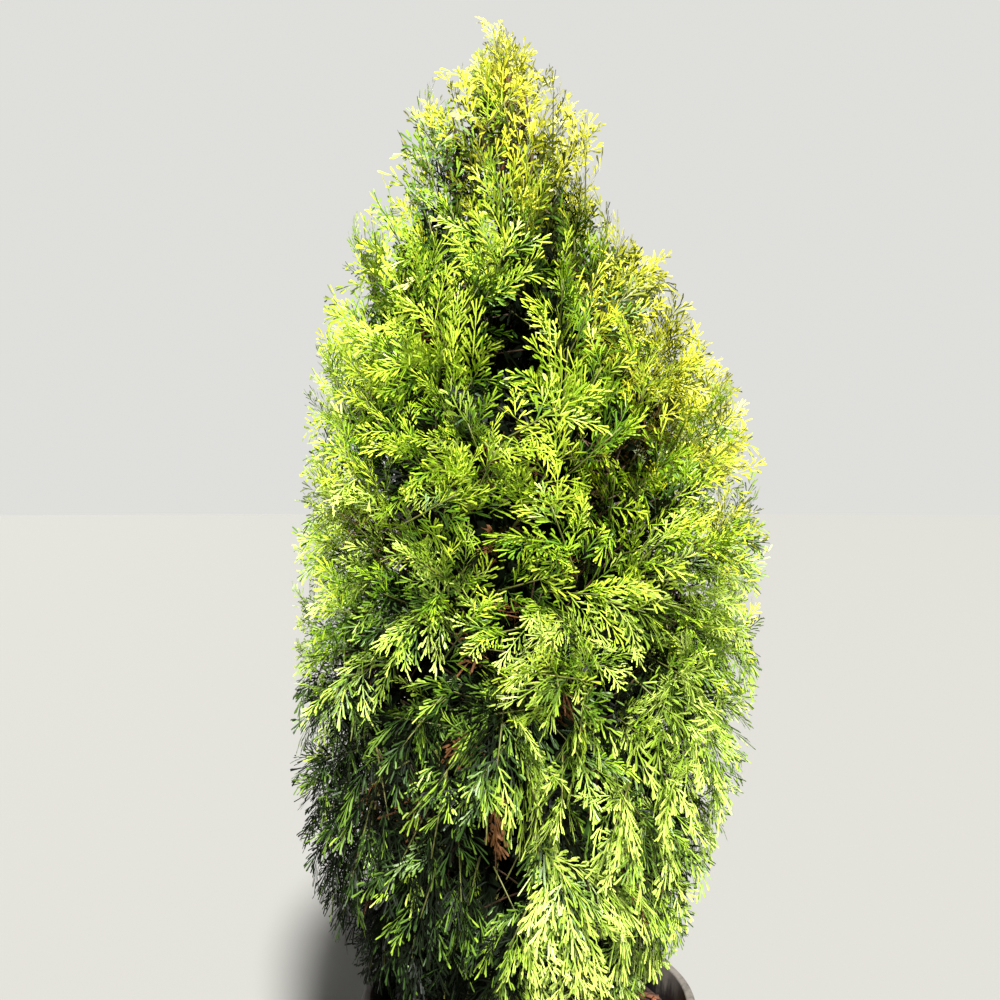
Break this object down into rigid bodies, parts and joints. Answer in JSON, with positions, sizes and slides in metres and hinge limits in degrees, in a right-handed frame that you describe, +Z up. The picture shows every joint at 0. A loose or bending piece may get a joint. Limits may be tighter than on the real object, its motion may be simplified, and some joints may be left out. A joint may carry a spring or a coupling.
{
  "type": "potted golden thuja",
  "caption": "Dense conical golden-green thuja with upright fan sprays on a leaning trunk, growing in a round black nursery pot with a rolled rim.",
  "frame": {"origin": "centre of the pot's flat underside", "axes": "+Z up along the plant, -Y the side that is seen first"},
  "size_m": [0.4878, 0.4859, 1.352],
  "materials": {
    "pot_plastic": "moulded black polypropylene, dusty and lightly scuffed on the rim",
    "potting_mix": "damp composted bark with orange bark chips on top",
    "bark": "thin fibrous red-brown bark, peeling in upright strips",
    "foliage_gold": "golden-yellow scale leaves in flat sprays",
    "foliage_lime": "lime-green scale leaves in flat sprays",
    "foliage_green": "mid-green scale leaves in flat sprays",
    "foliage_deep": "deep green shaded scale leaves in flat sprays"
  },
  "bodies": {
    "root": {"pot": "pot_plastic", "potting_mix": "potting_mix", "trunk": "bark", "bough_skirt_1": "bark", "bough_skirt_2": "bark", "bough_skirt_3": "bark", "bough_skirt_4": "bark", "bough_skirt_5": "bark", "bough_skirt_6": "bark", "bough_lower_1": "bark", "bough_lower_2": "bark", "bough_lower_3": "bark", "bough_lower_4": "bark", "bough_lower_5": "bark", "bough_middle_1": "bark", "bough_middle_2": "bark", "bough_middle_3": "bark", "bough_middle_4": "bark", "bough_middle_5": "bark", "bough_upper_1": "bark", "bough_upper_2": "bark", "bough_upper_3": "bark", "bough_upper_4": "bark", "bough_crown_1": "bark", "bough_crown_2": "bark", "bough_crown_3": "bark", "foliage_skirt_1": "foliage_deep", "foliage_skirt_2": "foliage_deep", "foliage_skirt_3": "foliage_deep", "foliage_skirt_4": "foliage_deep", "foliage_skirt_5": "foliage_deep", "foliage_skirt_6": "foliage_deep", "foliage_lower_1": "foliage_green", "foliage_lower_2": "foliage_green", "foliage_lower_3": "foliage_green", "foliage_lower_4": "foliage_green", "foliage_lower_5": "foliage_green", "foliage_middle_1": "foliage_lime", "foliage_middle_2": "foliage_lime", "foliage_middle_3": "foliage_lime", "foliage_middle_4": "foliage_lime", "foliage_middle_5": "foliage_lime", "foliage_upper_1": "foliage_lime", "foliage_upper_2": "foliage_lime", "foliage_upper_3": "foliage_lime", "foliage_upper_4": "foliage_lime", "foliage_crown_1": "foliage_gold", "foliage_crown_2": "foliage_gold", "foliage_crown_3": "foliage_gold", "foliage_tip": "foliage_gold"}
  },
  "joints": []
}
